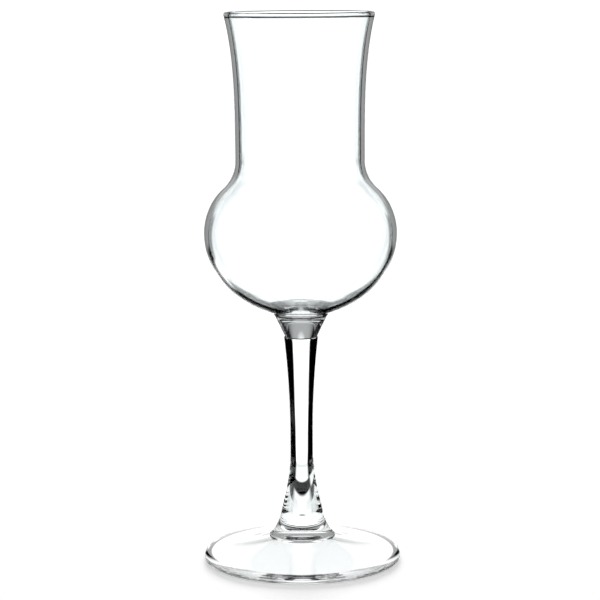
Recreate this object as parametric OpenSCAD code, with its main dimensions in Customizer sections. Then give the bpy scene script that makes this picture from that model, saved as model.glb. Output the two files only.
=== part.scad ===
// Grappa glass: a flared chimney mouth over a round bulb, on a slim stem and a wide foot.
// It is three pieces of clear glass, joined hot by two flat welds. All outlines are
// revolved about Z, and the glass stands on z = 0.

/* [Overall] */
// Height of the foot's hub, where the stem is welded on
hub_h = 12.5; // [10.5:0.1:15]
// Length of the stem from the foot's weld to the bowl's weld
stem_l = 51.9; // [43:0.1:75]
// Height of the bowl from its weld to the top of the rim
bowl_h = 90.6; // [75:0.1:110]

/* [Bowl] */
// Outside diameter over the rim's bead
rim_d = 42; // [38:0.1:51]
// How much thicker than the wall the fire-polished bead along the rim is
rim_bead = 0.2; // [0.1:0.05:0.8]
// Outside diameter of the neck
neck_d = 36.2; // [30:0.1:40]
// Length of the straight neck between the shoulder and the flared mouth
neck_l = 2; // [0.5:0.1:8]
// How late the mouth flares: 2 is an even curve, more keeps it straight for longer
flare_power = 3.2; // [2:0.1:4]
// Outside diameter of the bulb
bulb_d = 54.2; // [46:0.1:66]
// Depth of the bulb from its widest ring to its underside
bulb_depth = 23.3; // [22.5:0.1:28]
// Radius of the shoulder above the widest ring
shoulder_r = 17.75; // [15:0.05:21]
// Radius of the hollow curve from the shoulder into the neck
neck_fillet_r = 9.75; // [6:0.05:13]
// Radius of the bulb's outside below the widest ring
side_r = 20.9; // [18:0.1:22]
// Thickness of the wall
wall_t = 1.4; // [1:0.05:1.7]
// Thickness of the flat floor over the boss
floor_t = 2.9; // [2.3:0.1:3.6]
// Radius of the corner where the wall runs into the flat floor
floor_corner_r = 1; // [0.5:0.1:3]

/* [Boss under the bowl] */
// Height of the boss from the weld to the bulb's underside
boss_h = 5.8; // [4.5:0.1:8]
// Diameter of the boss at the weld
boss_d = 9.1; // [8:0.1:11]
// Slope of the boss's side from upright, in degrees
boss_angle = 26; // [15:1:35]
// Radius of the curve from the boss into the bulb
boss_fillet_r = 3.4; // [1:0.1:5]

/* [Stem] */
// Diameter of the stem where it is thinnest
stem_d = 6.5; // [5.4:0.1:7.8]
// Length of the thinnest stretch
waist_l = 5; // [1:0.1:10]
// Diameter of the stem's upper end
stem_top_d = 9.7; // [9.2:0.1:12]
// Rounding of the upper end's edge, which leaves a fine groove at the weld
stem_edge_r = 0.4; // [0.1:0.05:0.6]
// Radius of the curve from the thinnest stretch into the lower cone
stem_curve_r = 50; // [30:1:60]
// Slope of the lower cone from upright, in degrees
cone_angle = 13; // [10:0.5:16]

/* [Foot] */
// Diameter of the foot
foot_d = 56; // [48:0.5:68]
// Thickness of the foot's rounded edge
edge_t = 2.7; // [2:0.1:3.4]
// Diameter of the hub at the stem's weld
hub_d = 12.5; // [10.5:0.1:15]
// Radius of the hollow curve of the hub
hub_fillet_r = 9; // [7:0.1:11]
// Diameter of the collar where the hub meets the upper face
collar_d = 18.7; // [17:0.1:20]
// Rounding of the collar's shoulder
collar_round_r = 0.9; // [0.4:0.1:1.5]
// Height of the collar's upright side
collar_step = 0.4; // [0.1:0.05:0.8]
// Radius of the hollow upper face
foot_top_r = 120; // [90:5:300]
// Width of the flat ring that the glass stands on
rest_w = 2; // [1:0.1:4]
// Radius of the dome in the middle of the hollow underside
apex_r = 16; // [8:1:24]

/* [Hidden] */
glass = [0.84, 0.91, 0.92, 0.45];
// Angle of one step along a curve, and the fewest steps that a curve has
arc_step = 4;
arc_min = 5;
flare_steps = 24;
round_steps = 144;

bowl_z = hub_h + stem_l;
total_h = bowl_z + bowl_h;

bulb_r = bulb_d / 2;
neck_r = neck_d / 2;
bulb_z = bowl_z + boss_h + bulb_depth;

bead_r = (wall_t + rim_bead) / 2;
bead_at = [rim_d / 2 - bead_r, total_h - bead_r];
// The bead sits astride the wall, which runs into it this far below the bead's centre
bead_dip = acos(wall_t / 2 / bead_r);
lip_z = bead_at.y - bead_r * sin(bead_dip);
lip_r = bead_at.x + wall_t / 2;

shoulder_at = [bulb_r - shoulder_r, bulb_z];
neck_fillet_x = neck_r + neck_fillet_r;
shoulder_turn = acos((neck_fillet_x - shoulder_at.x) / (shoulder_r + neck_fillet_r));
neck_fillet_at = [neck_fillet_x, bulb_z + (shoulder_r + neck_fillet_r) * sin(shoulder_turn)];
neck_z = neck_fillet_at.y + neck_l;

// The underside is a three-centred oval: a side arc that runs into a flatter bottom arc
bottom_r = oval_bottom_r(bulb_r, bulb_depth, side_r);
bottom_at = [0, bulb_z - bulb_depth + bottom_r];
side_at = [bulb_r - side_r, bulb_z];
bottom_turn = heading(bottom_at, side_at);

// The inside keeps the wall's thickness down to a rounded corner, then runs flat over the boss
floor_z = bulb_z - bulb_depth + floor_t;
corner_reach = bottom_r - wall_t - floor_corner_r;
corner_drop = bottom_at.y - floor_z - floor_corner_r;
corner_at = [sqrt(corner_reach * corner_reach - corner_drop * corner_drop), floor_z + floor_corner_r];
corner_turn = heading(bottom_at, corner_at);

boss_r = boss_d / 2;
boss_out = [cos(boss_angle), -sin(boss_angle)];
boss_up = [sin(boss_angle), cos(boss_angle)];
boss_fillet_at = line_to_circle([boss_r, bowl_z] + boss_fillet_r * boss_out, boss_up,
    bottom_at, bottom_r + boss_fillet_r);
boss_turn = heading(bottom_at, boss_fillet_at);

stem_r = stem_d / 2;
stem_top_r = stem_top_d / 2;
hub_r = hub_d / 2;
curve_z = hub_h + stem_curve_r * sin(cone_angle)
    + (hub_r - stem_r - stem_curve_r * (1 - cos(cone_angle))) / tan(cone_angle);
waist_z = curve_z + waist_l;
taper_l = bowl_z - stem_edge_r - waist_z;
taper_gain = stem_top_r - stem_r;
taper_r = (taper_l * taper_l + taper_gain * taper_gain) / (2 * taper_gain);

foot_r = foot_d / 2;
edge_r = edge_t / 2;
edge_at = [foot_r - edge_r, edge_r];
collar_r = collar_d / 2;
hub_fillet_at = [hub_r, hub_h] + hub_fillet_r * [cos(cone_angle), sin(cone_angle)];
hub_turn = acos((hub_fillet_at.x + collar_round_r - collar_r) / (hub_fillet_r + collar_round_r));
collar_at = hub_fillet_at - (hub_fillet_r + collar_round_r) * [cos(hub_turn), sin(hub_turn)];
collar_foot = [collar_r, collar_at.y - collar_step];
foot_top_at = circles_meet(collar_foot, foot_top_r, edge_at, foot_top_r + edge_r);

// The underside runs parallel to the upper face, and a dome closes it over the middle
rest_at = [edge_at.x - rest_w, 0];
under_r = norm(rest_at - foot_top_at);
dome_reach = under_r + apex_r;
apex_at = [0, foot_top_at.y - sqrt(dome_reach * dome_reach - foot_top_at.x * foot_top_at.x)];

// Direction from one point to another, in degrees
function heading(from, to) = atan2(to.y - from.y, to.x - from.x);

// Points along an arc, both ends included
function arc(at, radius, from, to) =
    let (steps = max(arc_min, ceil(abs(to - from) / arc_step)))
    [for (i = [0:steps]) let (a = from + (to - from) * i / steps) at + radius * [cos(a), sin(a)]];

// A list of points in the opposite order
function reversed(points) = [for (i = [len(points) - 1:-1:0]) points[i]];

// Radius of the bottom arc that closes an oval of this half width and depth
function oval_bottom_r(half_w, depth, side) =
    (pow(half_w - side, 2) + depth * depth - side * side) / (2 * (depth - side));

// First point at which a ray meets a circle
function line_to_circle(from, along, at, radius) =
    let (offset = from - at, half = offset * along)
    from + (-half - sqrt(half * half - offset * offset + radius * radius)) * along;

// Upper one of the two points at which two circles meet
function circles_meet(at1, radius1, at2, radius2) =
    let (gap = norm(at2 - at1), along = (at2 - at1) / gap)
    let (reach = (radius1 * radius1 - radius2 * radius2 + gap * gap) / (2 * gap))
    at1 + reach * along + sqrt(radius1 * radius1 - reach * reach) * [-along.y, along.x];

// The chimney from the neck up to the lip, moved in by the wall for its inside
function flare(inset) =
    [for (i = [0:flare_steps]) let (t = i / flare_steps)
        [neck_r + (lip_r - neck_r) * pow(t, flare_power) - inset, neck_z + (lip_z - neck_z) * t]];

// What the inside holds up to the rim, in millilitres
function capacity(inside) =
    PI / 3000 * [for (i = [1:len(inside) - 1])
        let (a = inside[i - 1], b = inside[i])
        (a.x * a.x + a.x * b.x + b.x * b.x) * (b.y - a.y)]
        * [for (i = [1:len(inside) - 1]) 1];

bowl_outside = concat(
    [[boss_r, bowl_z]],
    arc(boss_fillet_at, boss_fillet_r, 180 - boss_angle, boss_turn + 180),
    arc(bottom_at, bottom_r, boss_turn, bottom_turn),
    arc(side_at, side_r, bottom_turn, 0),
    arc(shoulder_at, shoulder_r, 0, shoulder_turn),
    arc(neck_fillet_at, neck_fillet_r, 180 + shoulder_turn, 180),
    flare(0));

bowl_inside = concat(
    [[0, floor_z]],
    arc(corner_at, floor_corner_r, -90, corner_turn),
    arc(bottom_at, bottom_r - wall_t, corner_turn, bottom_turn),
    arc(side_at, side_r - wall_t, bottom_turn, 0),
    arc(shoulder_at, shoulder_r - wall_t, 0, shoulder_turn),
    arc(neck_fillet_at, neck_fillet_r + wall_t, 180 + shoulder_turn, 180),
    flare(wall_t));

stem_outside = concat(
    [[hub_r, hub_h]],
    arc([stem_r + stem_curve_r, curve_z], stem_curve_r, 180 + cone_angle, 180),
    arc([stem_r + taper_r, waist_z], taper_r, 180, 180 - asin(taper_l / taper_r)),
    arc([stem_top_r - stem_edge_r, bowl_z - stem_edge_r], stem_edge_r, 0, 90));

foot_outside = concat(
    arc(apex_at, apex_r, 90, heading(apex_at, foot_top_at)),
    arc(foot_top_at, under_r, heading(foot_top_at, apex_at), heading(foot_top_at, rest_at)),
    arc(edge_at, edge_r, -90, heading(edge_at, foot_top_at)),
    arc(foot_top_at, foot_top_r, heading(foot_top_at, edge_at), heading(foot_top_at, collar_foot)),
    arc(collar_at, collar_round_r, 0, hub_turn),
    arc(hub_fillet_at, hub_fillet_r, 180 + hub_turn, 180 + cone_angle));

// One piece of glass, turned about Z from its outline
module turned(outline) {
    color(glass)
        rotate_extrude($fn = round_steps)
            polygon(outline);
}

// Blown bowl with its rim bead and the solid boss below
module bowl() {
    bead = arc(bead_at, bead_r, -bead_dip, 180 + bead_dip);
    turned(concat([[0, bowl_z]], bowl_outside, bead, reversed(bowl_inside)));
}

// Drawn stem, thin in the middle, with a wide lower end
module stem() {
    turned(concat([[0, hub_h]], stem_outside, [[0, bowl_z]]));
}

// Pressed foot with a hollow underside, a round edge and the hub for the stem
module foot() {
    turned(concat(foot_outside, [[0, hub_h]]));
}

echo(str("Height ", total_h, " mm, holds ", round(capacity(bowl_inside)), " ml to the rim"));

bowl();
stem();
foot();
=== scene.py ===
# %% [markdown]
# A grappa glass in clear glass: a flared chimney over a round bulb, a slim stem and a wide foot.
# The model that was packed before is the fixed frame, and each piece made here replaces one of its
# nodes. The heights could be typed in again, but the frame's boxes give every weld and the overall
# size exactly, so they are read first.

# %% Load the frame
import math

import bmesh
import bpy
from mathutils import Matrix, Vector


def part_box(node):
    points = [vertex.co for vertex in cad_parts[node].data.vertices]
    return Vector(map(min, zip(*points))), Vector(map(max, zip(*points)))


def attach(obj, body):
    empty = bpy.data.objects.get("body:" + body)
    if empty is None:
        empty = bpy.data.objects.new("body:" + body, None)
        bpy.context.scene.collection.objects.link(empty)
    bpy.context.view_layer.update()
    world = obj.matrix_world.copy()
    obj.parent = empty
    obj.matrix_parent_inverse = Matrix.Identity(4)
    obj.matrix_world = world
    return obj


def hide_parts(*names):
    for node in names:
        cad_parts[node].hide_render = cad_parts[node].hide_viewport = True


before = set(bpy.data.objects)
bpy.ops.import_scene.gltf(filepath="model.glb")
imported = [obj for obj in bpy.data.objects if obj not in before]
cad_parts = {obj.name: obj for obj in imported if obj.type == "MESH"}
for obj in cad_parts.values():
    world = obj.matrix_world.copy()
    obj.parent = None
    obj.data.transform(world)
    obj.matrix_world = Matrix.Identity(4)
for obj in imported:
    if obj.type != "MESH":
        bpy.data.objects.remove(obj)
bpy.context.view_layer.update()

MM = 0.001
bowl_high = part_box("bowl")[1]
stem_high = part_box("stem")[1]
foot_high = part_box("foot")[1]
hub_h = foot_high.z
bowl_z = stem_high.z
total_h = bowl_high.z
bulb_r = bowl_high.x
foot_r = foot_high.x
print("glass height", round(total_h / MM, 2), "mm, welds at", round(hub_h / MM, 2), round(bowl_z / MM, 2))

# %% [markdown]
# The photograph looks slightly down: the rim is nearly a line and the foot a flat oval. A camera can
# be set by eye, but those two ovals fix it. The rim's says how far the lens is above it, and the foot's
# how close the lens stands, so distance, height, tilt and focal length are worked out from them.
# A very small roll and pan follow the way the glass stands in the picture.

# %% Camera
SENSOR_W = 36
LENS_FOCAL = 126.06
LENS_BACK = 583.8 * MM
LENS_UP = 165.2 * MM
LENS_TILT = 8.82
LENS_ROLL = 0.35
LENS_PAN = 0.025

lens = bpy.data.cameras.new("camera")
lens.sensor_width = SENSOR_W
lens.lens = LENS_FOCAL
camera = bpy.data.objects.new("camera", lens)
bpy.context.collection.objects.link(camera)
camera.location = (0, -LENS_BACK, LENS_UP)
aim = (Matrix.Rotation(math.radians(LENS_PAN), 3, "Z")
       @ Matrix.Rotation(math.radians(90 - LENS_TILT), 3, "X")
       @ Matrix.Rotation(math.radians(-LENS_ROLL), 3, "Z"))
camera.rotation_euler = aim.to_euler()
bpy.context.scene.camera = camera
print("camera", LENS_FOCAL, "mm lens,", round(LENS_BACK / MM), "mm from the stem")

# %% [markdown]
# Every piece of the glass is round about the stem's axis, like work on a lathe. It could start as a
# cylinder and be scaled ring by ring, but then each curve is only as true as the eye. Here a pen draws
# half of the section: one vertex is pulled out into lines, and swung about a centre into arcs with the
# spin operator, so that every curve is a true arc with a centre and a radius.

# %% Pen
ARC_STEP = 2.5
ARC_LENGTH = 0.9 * MM
ARC_FEWEST = 6


def pen_at(bm, r, z):
    return bm.verts.new((r, 0, z))


def line_to(bm, tip, r, z):
    grown = bmesh.ops.extrude_vert_indiv(bm, verts=[tip])
    grown["verts"][0].co = (r, 0, z)
    return grown["verts"][0]


def swing(bm, tip, centre, degrees):
    radius = math.dist((tip.co.x, tip.co.z), centre)
    length = radius * math.radians(abs(degrees))
    steps = max(ARC_FEWEST, math.ceil(abs(degrees) / ARC_STEP), math.ceil(length / ARC_LENGTH))
    swung = bmesh.ops.spin(
        bm, geom=[tip], cent=(centre[0], 0, centre[1]), axis=(0, -1, 0),
        angle=math.radians(degrees), steps=steps, use_duplicate=False)
    return [v for v in swung["geom_last"] if isinstance(v, bmesh.types.BMVert)][0]


print("pen: an arc has a point every", ARC_STEP, "degrees or", round(ARC_LENGTH / MM, 2), "mm")

# %% [markdown]
# Spinning the drawn outline a full turn makes the solid. A Screw modifier could do this too, but the
# operator leaves a plain mesh whose poles can be merged closed at once. After the merge the normals are
# recalculated, because a spin can turn a shape inside out. Faces are smooth, and an edge is left sharp
# only where two faces meet at a clear angle, as at the welds.

# %% Lathe
TURN_STEPS = 224
MERGE = 0.0001 * MM
CREASE = math.radians(25)


def turn(bm, name):
    bmesh.ops.spin(
        bm, geom=bm.verts[:] + bm.edges[:], cent=(0, 0, 0), axis=(0, 0, 1),
        angle=2 * math.pi, steps=TURN_STEPS, use_merge=True)
    bmesh.ops.remove_doubles(bm, verts=bm.verts[:], dist=MERGE)
    bmesh.ops.dissolve_degenerate(bm, edges=bm.edges[:], dist=MERGE)
    bmesh.ops.recalc_face_normals(bm, faces=bm.faces[:])
    for face in bm.faces:
        face.smooth = True
    for edge in bm.edges:
        edge.smooth = edge.calc_face_angle(0) < CREASE
    mesh = bpy.data.meshes.new(name)
    bm.to_mesh(mesh)
    bm.free()
    piece = bpy.data.objects.new(name, mesh)
    bpy.context.collection.objects.link(piece)
    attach(piece, "root")
    print(name, len(mesh.vertices), "vertices,", len(mesh.polygons), "faces")
    return piece


print("lathe:", TURN_STEPS, "steps a turn")

# %% [markdown]
# The bowl is blown glass: a bulb that is a little flatter below than above, a shoulder, a straight neck
# and a mouth that flares. Such a form could be sculpted, but the eye follows its outline, and a bump in
# it would show at once. So the outline is a run of arcs that each start where the last one ends and keep
# its direction. Two circles that touch have their centres one radius sum apart, which gives the angles.

# %% Bulb and neck
neck_r = 18.1 * MM
neck_l = 2 * MM
neck_fillet_r = 9.75 * MM
shoulder_r = 17.75 * MM
side_r = 20.9 * MM
bulb_depth = 23.3 * MM
boss_h = 5.8 * MM


def heading(start, end):
    return math.degrees(math.atan2(end[1] - start[1], end[0] - start[0]))


bulb_z = bowl_z + boss_h + bulb_depth
side_at = (bulb_r - side_r, bulb_z)
bottom_r = (side_at[0] ** 2 + bulb_depth ** 2 - side_r ** 2) / (2 * (bulb_depth - side_r))
bottom_at = (0, bulb_z - bulb_depth + bottom_r)
bottom_turn = heading(bottom_at, side_at)
shoulder_at = (bulb_r - shoulder_r, bulb_z)
reach = shoulder_r + neck_fillet_r
shoulder_turn = math.degrees(math.acos((neck_r + neck_fillet_r - shoulder_at[0]) / reach))
neck_fillet_at = (neck_r + neck_fillet_r, bulb_z + reach * math.sin(math.radians(shoulder_turn)))
neck_z = neck_fillet_at[1] + neck_l
print("bulb widest at", round(bulb_z / MM, 2), "mm, flare starts at", round(neck_z / MM, 2), "mm")

# %% [markdown]
# Below the bulb sits a solid boss, a short cone where the stem is welded on. On the real glass it runs
# into the bulb in a soft curve. A bevel along the edge would make a curve too, but its size would depend
# on the angle of the faces there. A fillet arc that touches both the cone and the bulb is exact: its
# centre is one fillet radius off the cone and one radius sum from the bulb's own centre.

# %% Boss
boss_r = 4.55 * MM
boss_angle = 26
boss_fillet_r = 3.4 * MM

slope = math.radians(boss_angle)
start_r = boss_r + boss_fillet_r * math.cos(slope)
start_z = bowl_z - boss_fillet_r * math.sin(slope)
drop = start_z - bottom_at[1]
along = start_r * math.sin(slope) + drop * math.cos(slope)
apart = start_r ** 2 + drop ** 2 - (bottom_r + boss_fillet_r) ** 2
climb = -along - math.sqrt(along ** 2 - apart)
boss_fillet_at = (start_r + climb * math.sin(slope), start_z + climb * math.cos(slope))
boss_turn = heading(bottom_at, boss_fillet_at)
print("boss runs into the bulb at", round(bottom_r * math.cos(math.radians(boss_turn)) / MM, 2), "mm")

# %% [markdown]
# The rim is fire-polished: the cut edge was melted into a bead a little thicker than the wall, which
# catches a bright line. A straight edge with a bevel would look cut and not melted, so the bead is most
# of a circle. The mouth opens faster and faster towards it, and a power curve draws that with one number.

# %% Rim and flare
wall_t = 1.4 * MM
rim_r = 21 * MM
bead_r = 0.8 * MM
flare_power = 3.2
FLARE_STEPS = 48

bead_at = (rim_r - bead_r, total_h - bead_r)
bead_dip = math.degrees(math.acos(wall_t / 2 / bead_r))
lip_r = bead_at[0] + wall_t / 2
lip_z = bead_at[1] - bead_r * math.sin(math.radians(bead_dip))


def flare_point(share, inset):
    widen = (lip_r - neck_r) * share ** flare_power
    return (neck_r + widen - inset, neck_z + (lip_z - neck_z) * share)


print("mouth widens from", round(2 * neck_r / MM, 1), "to", round(2 * rim_r / MM, 1), "mm across")

# %% [markdown]
# Inside, the wall has one thickness down to the floor. The floor is thicker, because the glass is left
# there when the bulb is blown, and it domes up slightly with a small round corner. It could be left flat,
# but a flat floor acts like a window and a domed one like a lens, which is what shows in the bowl.

# %% Floor of the bowl
floor_t = 3.2 * MM
floor_r = 60 * MM
floor_corner_r = 0.8 * MM

floor_at = (0, bulb_z - bulb_depth + floor_t - floor_r)
corner_reach = bottom_r - wall_t - floor_corner_r
floor_reach = floor_r + floor_corner_r
corner_z = ((floor_at[1] ** 2 - bottom_at[1] ** 2 - floor_reach ** 2 + corner_reach ** 2)
            / (2 * (floor_at[1] - bottom_at[1])))
corner_at = (math.sqrt(corner_reach ** 2 - (corner_z - bottom_at[1]) ** 2), corner_z)
corner_turn = heading(bottom_at, corner_at)
print("floor of the bowl", round(2 * corner_at[0] / MM, 2), "mm across")

# %% [markdown]
# Now the bowl itself. A shell could be drawn as one line and thickened by a modifier, but then the boss,
# the bead and the thick floor would need extra pieces. One closed outline holds them all: it runs from
# the weld up the outside, over the bead, down the inside and back to the axis.

# %% Bowl
bm = bmesh.new()
tip = pen_at(bm, 0, bowl_z)
tip = line_to(bm, tip, boss_r, bowl_z)
tip = line_to(bm, tip, boss_fillet_at[0] - boss_fillet_r * math.cos(slope),
              boss_fillet_at[1] + boss_fillet_r * math.sin(slope))
tip = swing(bm, tip, boss_fillet_at, boss_turn + boss_angle)
tip = swing(bm, tip, bottom_at, bottom_turn - boss_turn)
tip = swing(bm, tip, side_at, -bottom_turn)
tip = swing(bm, tip, shoulder_at, shoulder_turn)
tip = swing(bm, tip, neck_fillet_at, -shoulder_turn)
for i in range(FLARE_STEPS + 1):
    tip = line_to(bm, tip, *flare_point(i / FLARE_STEPS, 0))
tip = swing(bm, tip, bead_at, 180 + 2 * bead_dip)
for i in range(FLARE_STEPS, -1, -1):
    tip = line_to(bm, tip, *flare_point(i / FLARE_STEPS, wall_t))
tip = line_to(bm, tip, neck_r - wall_t, neck_fillet_at[1])
tip = swing(bm, tip, neck_fillet_at, shoulder_turn)
tip = swing(bm, tip, shoulder_at, -shoulder_turn)
tip = swing(bm, tip, side_at, bottom_turn)
tip = swing(bm, tip, bottom_at, corner_turn - bottom_turn)
tip = swing(bm, tip, corner_at, heading(corner_at, floor_at) - corner_turn)
tip = swing(bm, tip, floor_at, 90 - heading(floor_at, corner_at))
bowl = turn(bm, "glass_bowl")
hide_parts("bowl")

# %% [markdown]
# The stem is drawn from hot glass, so it is thinnest a little below its middle and swells gently to the
# bowl. Its lower end is a slim cone that sits on the foot's hub. A tapered cylinder would be quicker, but
# its straight sides show beside the real one's long curves, so two large arcs make them. The upper edge is
# rounded over and leaves a fine groove at the weld, which shows as a bright ring.

# %% Stem
stem_r = 3.25 * MM
waist_l = 5 * MM
stem_top_r = 4.85 * MM
stem_edge_r = 0.4 * MM
stem_curve_r = 50 * MM
cone_angle = 13
hub_r = 6.25 * MM

cone = math.radians(cone_angle)
curve_in = stem_curve_r * (1 - math.cos(cone))
curve_drop = stem_curve_r * math.sin(cone)
curve_z = hub_h + curve_drop + (hub_r - stem_r - curve_in) / math.tan(cone)
waist_z = curve_z + waist_l
taper_l = bowl_z - stem_edge_r - waist_z
taper_gain = stem_top_r - stem_r
taper_r = (taper_l ** 2 + taper_gain ** 2) / (2 * taper_gain)
print("stem thinnest from", round(curve_z / MM, 2), "to", round(waist_z / MM, 2), "mm")

bm = bmesh.new()
tip = pen_at(bm, 0, hub_h)
tip = line_to(bm, tip, hub_r, hub_h)
tip = line_to(bm, tip, stem_r + curve_in, curve_z - curve_drop)
tip = swing(bm, tip, (stem_r + stem_curve_r, curve_z), -cone_angle)
tip = line_to(bm, tip, stem_r, waist_z)
tip = swing(bm, tip, (stem_r + taper_r, waist_z), -math.degrees(math.asin(taper_l / taper_r)))
tip = swing(bm, tip, (stem_top_r - stem_edge_r, bowl_z - stem_edge_r), 90)
tip = line_to(bm, tip, 0, bowl_z)
stem = turn(bm, "glass_stem")
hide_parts("stem")

# %% [markdown]
# The foot is pressed in a mould. Its hub flows down in a hollow curve to a small round collar, the marks
# of the mould's parting, and from there a wide face slopes away to a fully rounded edge. A disc with a
# bevelled edge would be flat on top, and light would cross it as through a pane. So the face is a large
# arc that touches the edge's small one, and the collar's arc touches the hub's.

# %% Upper side of the foot
hub_fillet_r = 9 * MM
collar_r = 9.35 * MM
collar_round_r = 0.9 * MM
collar_step = 0.4 * MM
edge_r = 1.35 * MM
foot_top_r = 120 * MM

edge_at = (foot_r - edge_r, edge_r)
hub_fillet_at = (hub_r + hub_fillet_r * math.cos(cone), hub_h + hub_fillet_r * math.sin(cone))
hub_reach = hub_fillet_r + collar_round_r
hub_turn = math.degrees(math.acos((hub_fillet_at[0] + collar_round_r - collar_r) / hub_reach))
collar_at = (collar_r - collar_round_r,
             hub_fillet_at[1] - hub_reach * math.sin(math.radians(hub_turn)))
collar_foot = (collar_r, collar_at[1] - collar_step)
gap = math.dist(collar_foot, edge_at)
lean_r = (edge_at[0] - collar_foot[0]) / gap
lean_z = (edge_at[1] - collar_foot[1]) / gap
share = (foot_top_r ** 2 - (foot_top_r + edge_r) ** 2 + gap ** 2) / (2 * gap)
rise = math.sqrt(foot_top_r ** 2 - share ** 2)
foot_top_at = (collar_foot[0] + share * lean_r - rise * lean_z,
               collar_foot[1] + share * lean_z + rise * lean_r)
print("foot's face runs from", round(collar_foot[1] / MM, 2), "mm high to the edge, whose middle is",
      round(edge_r / MM, 2), "mm high")

# %% [markdown]
# Underneath, the foot is hollow, so that it stands on a narrow flat ring and never rocks. The hollow
# could be cut out with a boolean, but a lathe outline needs no cut. Its arc has the same centre as the
# upper face's, so the glass is equally thick all over, and a small dome closes it under the hub.

# %% Foot
rest_w = 2 * MM
apex_r = 16 * MM

rest_r = edge_at[0] - rest_w
under_r = math.dist(foot_top_at, (rest_r, 0))
apex_at = (0, foot_top_at[1] - math.sqrt((under_r + apex_r) ** 2 - foot_top_at[0] ** 2))
print("hollow under the foot", round((apex_at[1] + apex_r) / MM, 2), "mm high")

bm = bmesh.new()
tip = pen_at(bm, 0, apex_at[1] + apex_r)
tip = swing(bm, tip, apex_at, heading(apex_at, foot_top_at) - 90)
tip = swing(bm, tip, foot_top_at, heading(foot_top_at, (rest_r, 0)) - heading(foot_top_at, apex_at))
tip = line_to(bm, tip, edge_at[0], 0)
tip = swing(bm, tip, edge_at, heading(edge_at, foot_top_at) + 90)
tip = swing(bm, tip, foot_top_at, heading(foot_top_at, collar_foot) - heading(foot_top_at, edge_at))
tip = line_to(bm, tip, collar_r, collar_at[1])
tip = swing(bm, tip, collar_at, hub_turn)
tip = swing(bm, tip, hub_fillet_at, cone_angle - hub_turn)
tip = line_to(bm, tip, 0, hub_h)
foot = turn(bm, "glass_foot")
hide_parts("foot")

# %% [markdown]
# Finishes are trees of nodes. They can be wired by hand in the editor, and in a script each node takes
# several lines, so a few helpers keep the cells short. One adds a node and one does a sum. Product,
# largest and opposite put sums together, and fade goes smoothly from 0 to 1 between two values, in
# either direction.

# %% Node helpers
def wire(tree, value, socket):
    if isinstance(value, bpy.types.NodeSocket):
        tree.links.new(value, socket)
    else:
        socket.default_value = value


def add_node(tree, kind, **settings):
    node = tree.nodes.new("ShaderNode" + kind)
    for name, value in settings.items():
        setattr(node, name, value)
    return node


def calc(tree, operation, *values):
    node = add_node(tree, "Math", operation=operation)
    for value, socket in zip(values, node.inputs):
        wire(tree, value, socket)
    return node.outputs[0]


def product(tree, first, *others):
    for other in others:
        first = calc(tree, "MULTIPLY", first, other)
    return first


def largest(tree, first, *others):
    for other in others:
        first = calc(tree, "MAXIMUM", first, other)
    return first


def opposite(tree, share):
    return calc(tree, "SUBTRACT", 1, share)


def fade(tree, value, at_zero, at_one):
    node = add_node(tree, "MapRange", interpolation_type="SMOOTHSTEP")
    wire(tree, value, node.inputs["Value"])
    wire(tree, at_zero, node.inputs["From Min"])
    wire(tree, at_one, node.inputs["From Max"])
    return node.outputs["Result"]


print("node helpers ready")

# %% [markdown]
# The finish is clear glass with a faint cool tint. A Glass shader would render it, but the Principled one
# with full transmission also survives the export. Its index of refraction, the number that says how far
# light is bent at the surface, is that of common table glass.

# %% Clear glass
GLASS_IOR = 1.52
GLASS_TINT = (0.962, 0.99, 0.994, 1)


def clear_glass(name, ior, tint):
    mat = bpy.data.materials.new(name)
    mat.use_nodes = True
    shader = mat.node_tree.nodes["Principled BSDF"]
    shader.inputs["Base Color"].default_value = tint
    shader.inputs["Roughness"].default_value = 0
    shader.inputs["IOR"].default_value = ior
    shader.inputs["Transmission Weight"].default_value = 1
    return mat, shader


print("clear glass: index", GLASS_IOR, "and tint", GLASS_TINT[:3])

# %% [markdown]
# The surface of blown glass is not optically flat. Its waves could be modelled in the mesh, but they are
# only some thousandths of a millimetre deep. So a bump, worked out in the glass's own coordinates, bends
# the highlights a little, and a trace of haze keeps them from being razor sharp.

# %% Fire polish
WAVE = 7 * MM
WAVE_DEPTH = 0.006 * MM
HAZE = 1.5 * MM
HAZE_RANGE = (0.0, 0.05)
NOISE_DETAIL = 1


def noise(tree, place, size):
    node = add_node(tree, "TexNoise")
    tree.links.new(place, node.inputs["Vector"])
    node.inputs["Scale"].default_value = 1 / size
    node.inputs["Detail"].default_value = NOISE_DETAIL
    return node.outputs[0]


def fire_polish(mat, shader):
    tree = mat.node_tree
    place = add_node(tree, "TexCoord").outputs["Object"]
    bump = add_node(tree, "Bump")
    bump.inputs["Strength"].default_value = 1
    bump.inputs["Distance"].default_value = WAVE_DEPTH
    tree.links.new(noise(tree, place, WAVE), bump.inputs["Height"])
    tree.links.new(bump.outputs[0], shader.inputs["Normal"])
    haze = add_node(tree, "MapRange")
    tree.links.new(noise(tree, place, HAZE), haze.inputs["Value"])
    haze.inputs["To Min"].default_value = HAZE_RANGE[0]
    haze.inputs["To Max"].default_value = HAZE_RANGE[1]
    tree.links.new(haze.outputs[0], shader.inputs["Roughness"])
    return mat


for piece in (bowl, stem, foot):
    finish = fire_polish(*clear_glass(piece.name + "_clear", GLASS_IOR, GLASS_TINT))
    piece.data.materials.append(finish)
    print(piece.name, "has the finish", finish.name)

# %% [markdown]
# At the welds the pieces are one glass, so light has to cross straight. Two glass faces that lie on each
# other would mirror it instead. The pieces could be joined, but then they would no longer come apart, so
# the faces at the welds get a finish of their own that bends and mirrors nothing: an index of 1.

# %% Welds
WELD_IOR = 1.0
WELD_TINT = (1, 1, 1, 1)
FLAT = 0.999
WELD_NEAR = 0.001 * MM

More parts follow.
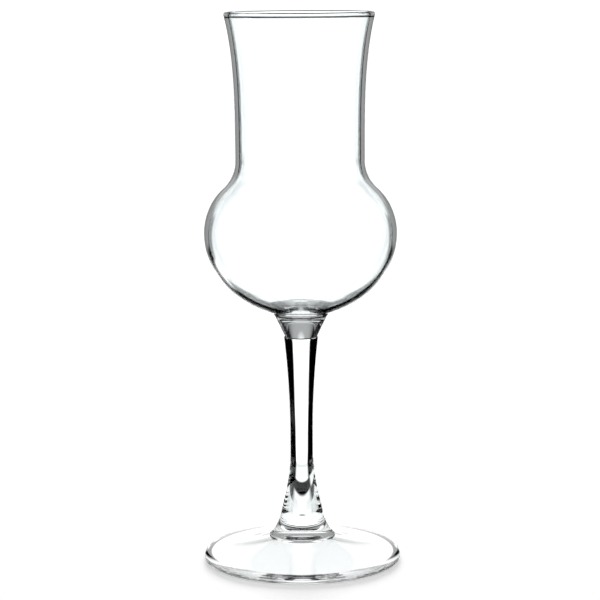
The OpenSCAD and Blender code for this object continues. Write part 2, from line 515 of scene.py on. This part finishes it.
weld = clear_glass("weld", WELD_IOR, WELD_TINT)[0]
for piece, heights in ((bowl, [bowl_z]), (stem, [hub_h, bowl_z]), (foot, [hub_h])):
    piece.data.materials.append(weld)
    for face in piece.data.polygons:
        flat = abs(face.normal.z) > FLAT
        if flat and any(abs(face.center.z - height) < WELD_NEAR for height in heights):
            face.material_index = 1
    print(piece.name, sum(face.material_index for face in piece.data.polygons), "faces at welds")

# %% [markdown]
# The photograph has a plain white ground and soft light. A bright world would give both, but it would
# also wash out the glass, which is drawn only by what it bends towards the eye. Light Path tells rays
# apart: the camera sees white, and matt surfaces get a low fill. The glass sees a dim ceiling with a soft
# box straight above it and a tube of light behind, and their images are the few bright lines on it.

# %% World
GROUND = 1.1
FILL = 0.42
OVERHEAD = 0.14
BOX_FRONT = (-0.25, -0.15)
BOX_BACK = (0.2, 0.1)
TUBE_SIDE = (0.3, 0.2)
TUBE_FROM = (0.40, 0.46)
ANY = 0.5


def seen_by_glass(tree, ray):
    return largest(tree, ray["Is Glossy Ray"], ray["Is Transmission Ray"])


scene = bpy.context.scene
world = bpy.data.worlds.new("studio")
scene.world = world
world.use_nodes = True
tree = world.node_tree
ray = add_node(tree, "LightPath").outputs
glassy = seen_by_glass(tree, ray)
direct = calc(tree, "LESS_THAN", ray["Diffuse Depth"], ANY)
way = add_node(tree, "SeparateXYZ")
tree.links.new(add_node(tree, "TexCoord").outputs["Generated"], way.inputs[0])
sideways, back = way.outputs[:2]
box = product(tree, fade(tree, back, *BOX_FRONT), fade(tree, back, *BOX_BACK))
tube = product(tree, fade(tree, calc(tree, "ABSOLUTE", sideways), *TUBE_SIDE), fade(tree, back, *TUBE_FROM))
ceiling = largest(tree, box, tube, OVERHEAD)
ground = product(tree, ray["Is Camera Ray"], GROUND)
shown = product(tree, largest(tree, ground, product(tree, glassy, ceiling)), direct)
fill = product(tree, opposite(tree, product(tree, glassy, direct)), FILL)
background = tree.nodes["Background"]
background.inputs["Color"].default_value = (1, 1, 1, 1)
tree.links.new(largest(tree, shown, fill), background.inputs["Strength"])
print("world: fill", FILL, "and for the glass a ceiling of", OVERHEAD, "with a box and a tube of 1")

# %% [markdown]
# The black lines along the edges of clear glass come from darkness at its sides. The studio could be
# dark, but then the white ground would go. A black curtain all round that only the glass can see draws
# the lines and leaves the rest of the light alone.

# %% Black curtain
CURTAIN_R = 620 * MM
CURTAIN_H = 700 * MM
CURTAIN_STEPS = 96


def stage_piece(bm, name):
    mesh = bpy.data.meshes.new(name)
    bm.to_mesh(mesh)
    bm.free()
    piece = bpy.data.objects.new(name, mesh)
    bpy.context.collection.objects.link(piece)
    mat = bpy.data.materials.new(name)
    mat.use_nodes = True
    mat.node_tree.nodes.clear()
    mesh.materials.append(mat)
    return piece, mat.node_tree


def glass_only(piece):
    piece.visible_camera = False
    piece.visible_diffuse = False
    piece.visible_shadow = False


def surface(tree, shader):
    tree.links.new(shader.outputs[0], add_node(tree, "OutputMaterial").inputs["Surface"])


bm = bmesh.new()
hem = pen_at(bm, CURTAIN_R, 0)
line_to(bm, hem, CURTAIN_R, CURTAIN_H)
bmesh.ops.spin(bm, geom=bm.verts[:] + bm.edges[:], cent=(0, 0, 0), axis=(0, 0, 1),
               angle=2 * math.pi, steps=CURTAIN_STEPS, use_merge=True)
curtain, tree = stage_piece(bm, "black_curtain")
glass_only(curtain)
cloth = add_node(tree, "Emission")
cloth.inputs["Strength"].default_value = 0
surface(tree, cloth)
print("curtain", round(2 * CURTAIN_R / MM), "mm across")

# %% [markdown]
# The white in the middle of the glass is a lit card behind it. One lamp with a soft box would do, but the
# shape of the card is what the glass shows: it is wide at the bottom and narrows upwards, so that the
# bulb, the chimney and the rim all keep dark edges. Its light is a pattern on the card's own UV map. To
# light that has crossed both walls of the bowl the white is wider beside the neck and higher at the top,
# so that the dark lines there stay thin.

# %% White field of a card
CARD_HALF = 196 * MM
CARD_H = 260 * MM
CARD_MIDDLE = 0.5
BOTH_WALLS = 3.5
WHITE_FOOT = (134 * MM, 96 * MM)
WHITE_TAPER = (0.50, 0.20)
TAPER_H = 100 * MM
WHITE_TOP = (184 * MM, 156 * MM)
HOLLOW_TOP = (206 * MM, 186 * MM)
NECK_EDGE = (114 * MM, 100 * MM)
NECK_FROM = (82 * MM, 96 * MM)


def card_places(tree):
    place = add_node(tree, "SeparateXYZ")
    tree.links.new(add_node(tree, "TexCoord").outputs["UV"], place.inputs[0])
    off_middle = calc(tree, "ABSOLUTE", calc(tree, "SUBTRACT", place.outputs[0], CARD_MIDDLE))
    return product(tree, off_middle, 2 * CARD_HALF), product(tree, place.outputs[1], CARD_H)


def past_both_walls(tree, ray):
    return calc(tree, "GREATER_THAN", ray["Transmission Depth"], BOTH_WALLS)


def white_field(tree, hollow, aside, up):
    low = calc(tree, "MINIMUM", up, TAPER_H)
    edges = [calc(tree, "MULTIPLY_ADD", low, -taper, at) for at, taper in zip(WHITE_FOOT, WHITE_TAPER)]
    neck = product(tree, hollow, fade(tree, aside, *NECK_EDGE), fade(tree, up, *NECK_FROM))
    hollow_top = product(tree, hollow, fade(tree, up, *HOLLOW_TOP))
    return product(tree, largest(tree, fade(tree, aside, *edges), neck),
                   largest(tree, fade(tree, up, *WHITE_TOP), hollow_top))


print("card", round(2 * CARD_HALF / MM), "mm wide,", round(CARD_H / MM), "mm high")

# %% [markdown]
# Clear glass also shows soft greys. The card could be white only, but then the rim would melt into the
# ground, and the bulb would have one hard black line. So a grey band above the white greys the rim, and
# grey strips at both sides come out as the grey line inside each black one. The strips are only for light
# that has crossed both walls of the bowl, which leaves the edges of the solid stem black.

# %% Greys of a card
TOP_GREY = 0.46
TOP_FROM = (140 * MM, 160 * MM)
TOP_TO = (250 * MM, 180 * MM)
STRIP_GREY = 0.5
STRIP_FROM = (126 * MM, 144 * MM)
STRIP_TO = (206 * MM, 188 * MM)
STRIP_LOW = (20 * MM, 42 * MM)
STRIP_HIGH = (92 * MM, 76 * MM)


def grey_parts(tree, hollow, aside, up):
    band = product(tree, fade(tree, up, *TOP_FROM), fade(tree, up, *TOP_TO), TOP_GREY)
    strip = product(tree, fade(tree, aside, *STRIP_FROM), fade(tree, aside, *STRIP_TO),
                    fade(tree, up, *STRIP_LOW), fade(tree, up, *STRIP_HIGH), hollow, STRIP_GREY)
    return largest(tree, band, strip)


print("greys of a card:", TOP_GREY, "above the white and", STRIP_GREY, "at the sides")

# %% [markdown]
# At its very edge the bowl is seen through one wall: light enters it, is turned back by the wall's inner
# face and leaves again. That edge is an even pale grey. One more card could stand where this light ends,
# but the stem would show it too. Such light is known by its path instead: it went through glass and was
# mirrored, met fewer surfaces than both walls have, and its last stretch to the card is a long one.

# %% Grey edge of the bowl
EDGE_GREY = 0.42
EDGE_FROM = (22 * MM, 46 * MM)
EDGE_RAY = 240 * MM


def with_grey_edge(tree, ray, up, light):
    through = calc(tree, "GREATER_THAN", ray["Transmission Depth"], ANY)
    one_wall = calc(tree, "LESS_THAN", ray["Transmission Depth"], BOTH_WALLS)
    turned_back = calc(tree, "GREATER_THAN", ray["Glossy Depth"], ANY)
    long_ray = calc(tree, "GREATER_THAN", ray["Ray Length"], EDGE_RAY)
    edge = product(tree, through, one_wall, turned_back, long_ray, fade(tree, up, *EDGE_FROM))
    return calc(tree, "MULTIPLY_ADD", edge, EDGE_GREY, product(tree, light, opposite(tree, edge)))


print("edge of the bowl: grey", EDGE_GREY, "for last stretches over", round(EDGE_RAY / MM), "mm")

# %% [markdown]
# Three cards stand round the glass: one behind it as the photograph sees it, and two so that the glass is
# as clear from the side and from behind. A single round wall would be simpler, but its light would reach
# the glass from everywhere and take the dark edges away. The two extra cards are shown only by light that
# goes through the glass, and not by mirror images on it, apart from low down, where the foot needs them.
# The white is brighter than 1, because every surface of the glass takes away about four percent.

# %% Cards
CARD_BACK = 256 * MM
CARDS = ((0, 1.6), (-90, 1.3), (135, 1.3))
SIDE_MIRROR = 70 * MM


def side_rays(tree, ray, up):
    through = calc(tree, "GREATER_THAN", ray["Transmission Depth"], ANY)
    straight = calc(tree, "LESS_THAN", ray["Glossy Depth"], ANY)
    return product(tree, through, largest(tree, straight, calc(tree, "LESS_THAN", up, SIDE_MIRROR)))


for turn_to, strength in CARDS:
    stand = (Matrix.Rotation(math.radians(-turn_to), 4, "Z")
             @ Matrix.Translation((0, CARD_BACK, CARD_H / 2))
             @ Matrix.Rotation(math.pi / 2, 4, "X")
             @ Matrix.Diagonal((CARD_HALF, CARD_H / 2, 1, 1)))
    bm = bmesh.new()
    bm.loops.layers.uv.new("card")
    bmesh.ops.create_grid(bm, x_segments=1, y_segments=1, size=1, matrix=stand, calc_uvs=True)
    card, tree = stage_piece(bm, f"light_card_{turn_to % 360}")
    glass_only(card)
    aside, up = card_places(tree)
    ray = add_node(tree, "LightPath").outputs
    hollow = past_both_walls(tree, ray)
    white = product(tree, white_field(tree, hollow, aside, up), strength)
    light = largest(tree, white, grey_parts(tree, hollow, aside, up))
    if turn_to == 0:
        light = with_grey_edge(tree, ray, up, light)
    else:
        light = product(tree, light, side_rays(tree, ray, up))
    glow = add_node(tree, "Emission")
    tree.links.new(light, glow.inputs["Strength"])
    surface(tree, glow)
    print(card.name, "strength", strength)

# %% [markdown]
# The floor is plain white and matt. It takes the soft shadow of the foot, and a little light of its own
# for the camera lifts it to the white of the ground, so no horizon shows. It could be one shader, but
# seen through the glass a white floor would fill the stem and the foot with even white. So the floor has
# a second look for rays that come through the glass, which the next cells paint.

# %% Matt floor
FLOOR_SIZE = 8
FLOOR_WHITE = 0.9
FLOOR_GLOW = 0.37

bm = bmesh.new()
bmesh.ops.create_grid(bm, x_segments=1, y_segments=1, size=FLOOR_SIZE / 2)
tree = stage_piece(bm, "floor")[1]
ray = add_node(tree, "LightPath").outputs
diffuse = add_node(tree, "BsdfDiffuse")
diffuse.inputs["Color"].default_value = (FLOOR_WHITE, FLOOR_WHITE, FLOOR_WHITE, 1)
glow = add_node(tree, "Emission")
tree.links.new(product(tree, ray["Is Camera Ray"], FLOOR_GLOW), glow.inputs["Strength"])
matt = add_node(tree, "AddShader")
tree.links.new(diffuse.outputs[0], matt.inputs[0])
tree.links.new(glow.outputs[0], matt.inputs[1])
print("floor", FLOOR_SIZE, "m wide, white", FLOOR_WHITE)

# %% [markdown]
# For the glass, the floor is a dark polished table with white paper on it. The paper's white is painted
# light: it glows with its own light and is not lit by the lamp. Light that meets the table at a low slant
# is mirrored, and steeper light sees the table's own dark. Layer Weight gives that slant, as it does for
# any gloss. Under the foot lies a disc of this glowing paper, and behind it a wedge of two sheets with a
# gap between them, whose dark shows as the lines in the hub and the collar.

# %% Glowing paper under and behind the foot
GLOSS = (20, 17)
STEEP = (28.5, 26)
DISC_EDGE = (25.9 * MM, 25.2 * MM)
WEDGE = 0.364
WEDGE_EDGE = (4 * MM, -4 * MM)
NEAR_TO = (35.5 * MM, 33.5 * MM)
FAR_FROM = (46 * MM, 49 * MM)
FAR_TO = (112 * MM, 100 * MM)


def slant(tree, facing, none, full):
    return fade(tree, facing, 1 - math.sin(math.radians(none)), 1 - math.sin(math.radians(full)))


place = add_node(tree, "SeparateXYZ")
tree.links.new(add_node(tree, "TexCoord").outputs["Object"], place.inputs[0])
across, ahead = place.outputs[:2]
facing = add_node(tree, "LayerWeight").outputs["Facing"]
grazing = slant(tree, facing, *GLOSS)
slanted = opposite(tree, grazing)
off_axis = calc(tree, "SQRT", calc(tree, "MULTIPLY_ADD", across, across, product(tree, ahead, ahead)))
disc = fade(tree, off_axis, *DISC_EDGE)
wedge = fade(tree, calc(tree, "MULTIPLY_ADD", ahead, -WEDGE, calc(tree, "ABSOLUTE", across)), *WEDGE_EDGE)
near = product(tree, wedge, fade(tree, ahead, *NEAR_TO), slanted)
far = product(tree, wedge, fade(tree, ahead, *FAR_FROM), fade(tree, ahead, *FAR_TO),
              slanted, slant(tree, facing, *STEEP))
print("paper disc", round(2 * DISC_EDGE[0] / MM, 1), "mm across, wedge to", round(FAR_TO[0] / MM), "mm")

# %% [markdown]
# Seen from a corner, the glass has no card straight behind it, and its bulb would be dark. One more card
# there would be seen in the photograph's view. So a path of paper, which glows with painted light like the
# disc, runs that way over the table: its near part is for the stem and the foot, and only at the slants
# that meet it, and its far part is for light that has crossed both walls of the bowl, or that comes down
# steeply enough.

# %% Glowing paper path to the corner
PATH_TURN = math.radians(-45)
PATH_EDGE = (34 * MM, 26 * MM)
PATH_SIDE = 0.4
PATH_SIDE_EDGE = (0, -8 * MM)
PATH_FROM = (24, 25.5)
PATH_TO = (32, 30)
PATH_FAR = (80 * MM, 95 * MM)
TABLE_EDGE = (66 * MM, 58 * MM)
TABLE_FROM = (110 * MM, 130 * MM)
TABLE_TO = (540 * MM, 500 * MM)
TABLE_ANY = (370 * MM, 400 * MM)
TABLE_SLANT = (13, 15)

aside = calc(tree, "ABSOLUTE", calc(tree, "MULTIPLY_ADD", across, math.cos(PATH_TURN),
                                    product(tree, ahead, -math.sin(PATH_TURN))))
along = calc(tree, "MULTIPLY_ADD", across, math.sin(PATH_TURN), product(tree, ahead, math.cos(PATH_TURN)))
one_side = fade(tree, calc(tree, "MULTIPLY_ADD", ahead, PATH_SIDE, across), *PATH_SIDE_EDGE)
steep_enough = largest(tree, slant(tree, facing, *PATH_FROM),
                       product(tree, slanted, fade(tree, along, *PATH_FAR)))
walk = product(tree, fade(tree, aside, *PATH_EDGE), one_side, steep_enough, slant(tree, facing, *PATH_TO))
hollow = past_both_walls(tree, ray)
any_ray = product(tree, fade(tree, along, *TABLE_ANY), slant(tree, facing, *TABLE_SLANT))
table = product(tree, fade(tree, aside, *TABLE_EDGE), fade(tree, along, *TABLE_FROM),
                fade(tree, along, *TABLE_TO), largest(tree, hollow, any_ray))
print("paper path to", round(TABLE_TO[0] / MM), "mm at the corner")

# %% [markdown]
# The floor's two looks are put together with Mix Shaders. One picks the glowing paper or the polished
# table, and the last picks between that and the matt floor: a ray that the glass has bent or mirrored gets
# the table, and the camera and the lamp get the matt floor with its shadow.

# %% Finish of the floor
PAPER_GLOW = 1.15

polish = add_node(tree, "BsdfGlossy")
polish.inputs["Roughness"].default_value = 0
tree.links.new(grazing, polish.inputs["Color"])
# The paper is an Emission shader: its white is painted light that it gives off itself, not lamp light.
paper = add_node(tree, "Emission")
paper.inputs["Strength"].default_value = PAPER_GLOW


def mixed(tree, share, first, second):
    mix = add_node(tree, "MixShader")
    tree.links.new(share, mix.inputs[0])
    tree.links.new(first.outputs[0], mix.inputs[1])
    tree.links.new(second.outputs[0], mix.inputs[2])
    return mix


pale = largest(tree, disc, near, far, walk, table)
glassy = seen_by_glass(tree, ray)
surface(tree, mixed(tree, glassy, matt, mixed(tree, pale, polish, paper)))
print("floor finish has", len(tree.nodes), "nodes")

# %% [markdown]
# One soft light stands low behind the glass and throws the foot's shadow a short way forward. An area
# lamp would make it uneven over the floor, so it is a sun with a wide angle, which softens the edge.
# Clear glass lets most light through, and only the thick foot darkens the floor beside it. A renderer
# counts glass as solid for shadows, so the bowl and the stem are taken out of them.

# %% Soft light
LAMP_TILT = math.radians(70)
LAMP_ANGLE = math.radians(24)
LAMP_ENERGY = 2.98

lamp = bpy.data.lights.new("soft_light", "SUN")
lamp.angle = LAMP_ANGLE
lamp.energy = LAMP_ENERGY
sun = bpy.data.objects.new("soft_light", lamp)
bpy.context.collection.objects.link(sun)
sun.rotation_euler = (-LAMP_TILT, 0, 0)
sun.visible_glossy = False
sun.visible_transmission = False
bowl.visible_shadow = False
stem.visible_shadow = False
print("soft light at", round(90 - math.degrees(LAMP_TILT)), "degrees above the floor")

# %% [markdown]
# A ray that looks through the bowl crosses four surfaces, and one that is caught in the stem many more.
# When it runs out of bounces it turns black, so the limits go up, and the dark that is left in the glass
# is only the curtain and the table. The Standard view keeps white as white.

# %% Render settings
BOUNCES = 32
GLOSSY_BOUNCES = 16

scene.cycles.max_bounces = BOUNCES
scene.cycles.transmission_bounces = BOUNCES
scene.cycles.transparent_max_bounces = BOUNCES
scene.cycles.glossy_bounces = GLOSSY_BOUNCES
scene.view_settings.view_transform = "Standard"
print("up to", BOUNCES, "bounces, view", scene.view_settings.view_transform)
